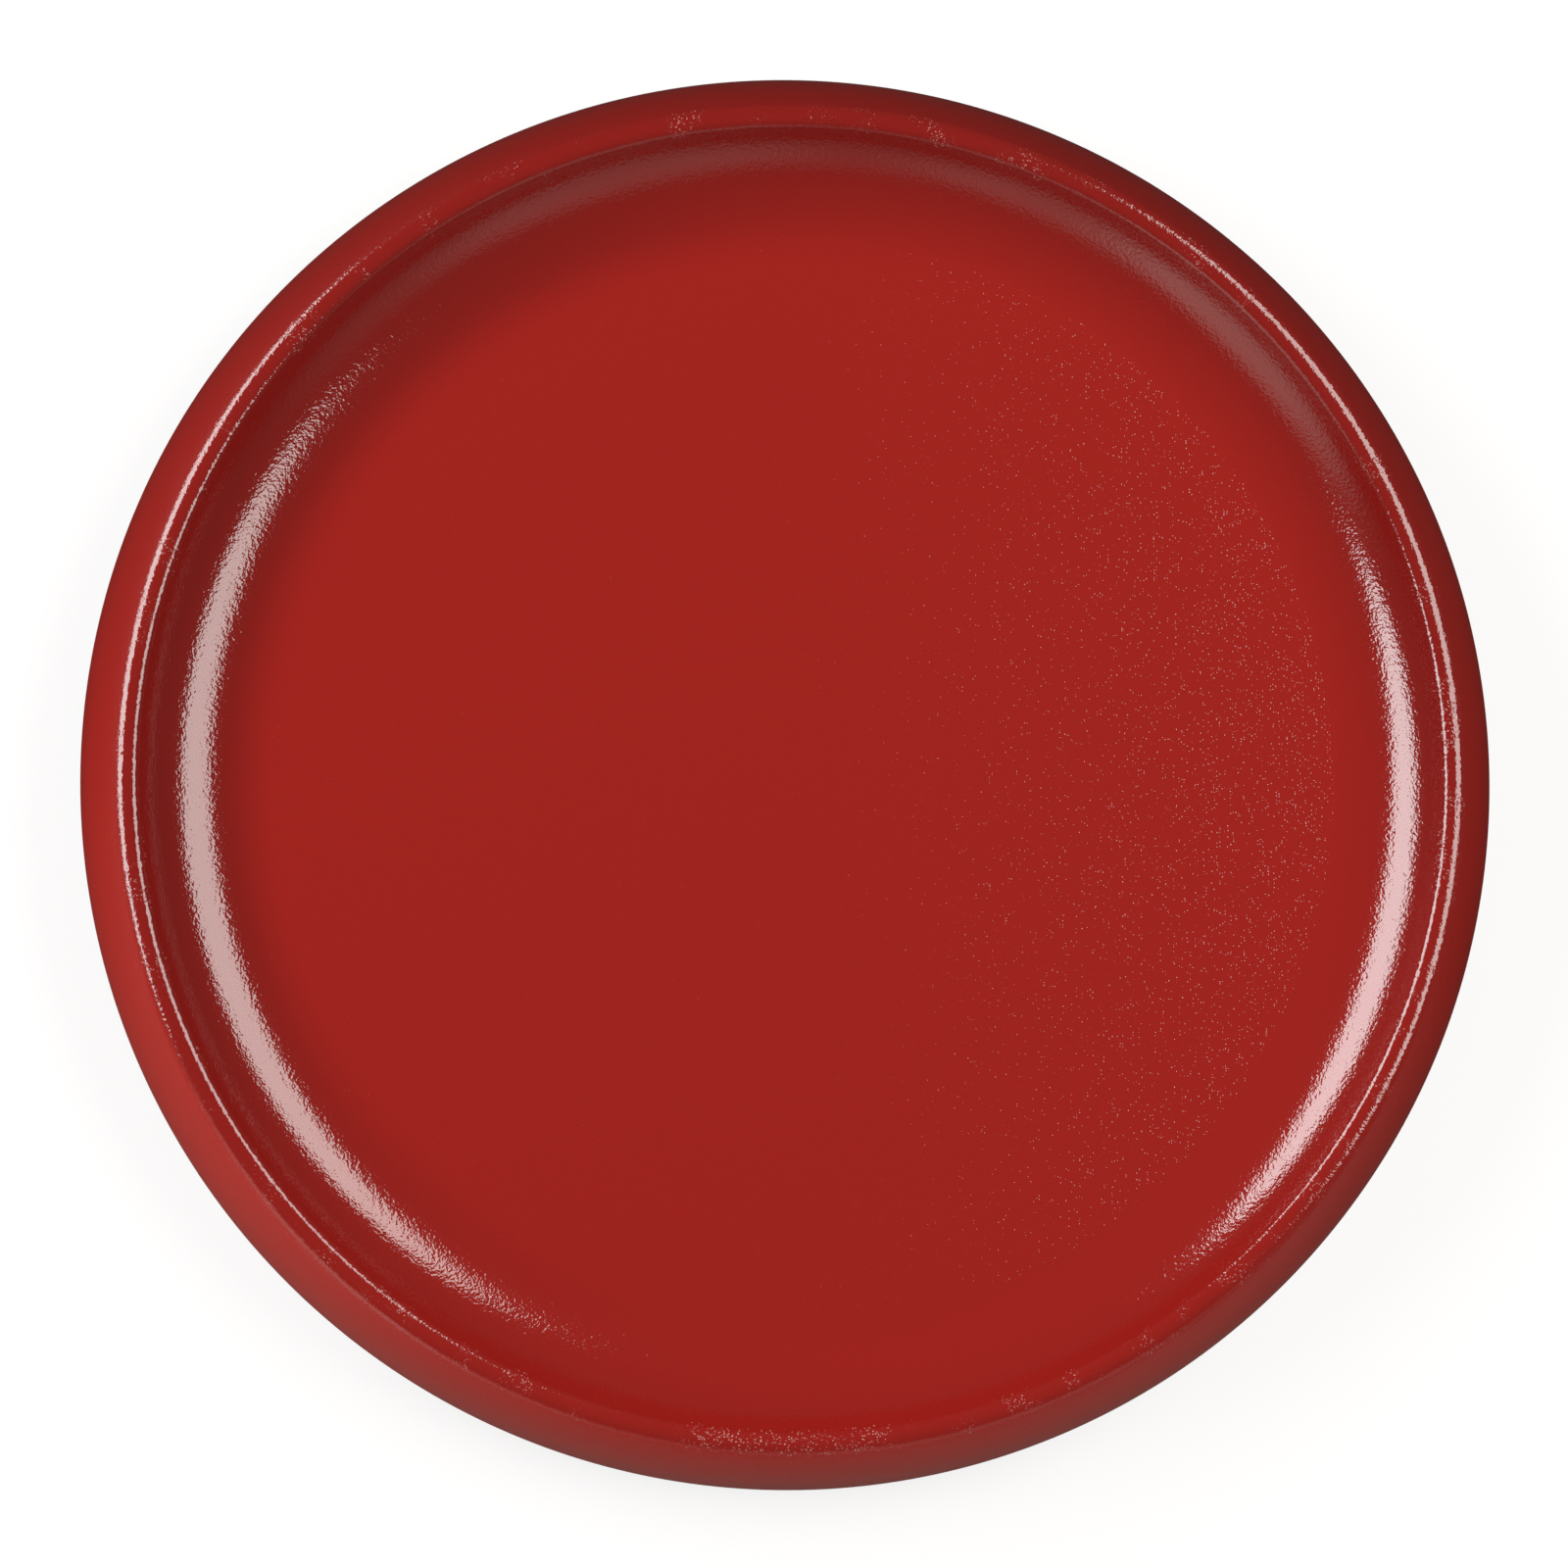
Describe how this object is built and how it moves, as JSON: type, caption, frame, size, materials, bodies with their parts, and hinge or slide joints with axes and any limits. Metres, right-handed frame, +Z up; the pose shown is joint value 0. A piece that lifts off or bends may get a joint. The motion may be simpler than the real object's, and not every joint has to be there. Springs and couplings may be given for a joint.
{
  "type": "shallow round dish",
  "caption": "Shallow round dish in red glaze, made in one piece: flat floor, cove, raised rim with a narrow land, swelling outer wall and a plain foot ring.",
  "frame": {"origin": "centre of the foot ring's resting plane, on the axis of revolution", "axes": "+Z up along the axis of revolution, out of the open side; +X and +Y are any two square directions"},
  "size_m": [0.27, 0.27, 0.0245],
  "materials": {
    "red_glaze": "glossy glaze over the floor, cove and rim, satin on the outer wall"
  },
  "bodies": {
    "root": {"dish_body": "red_glaze"}
  },
  "joints": []
}
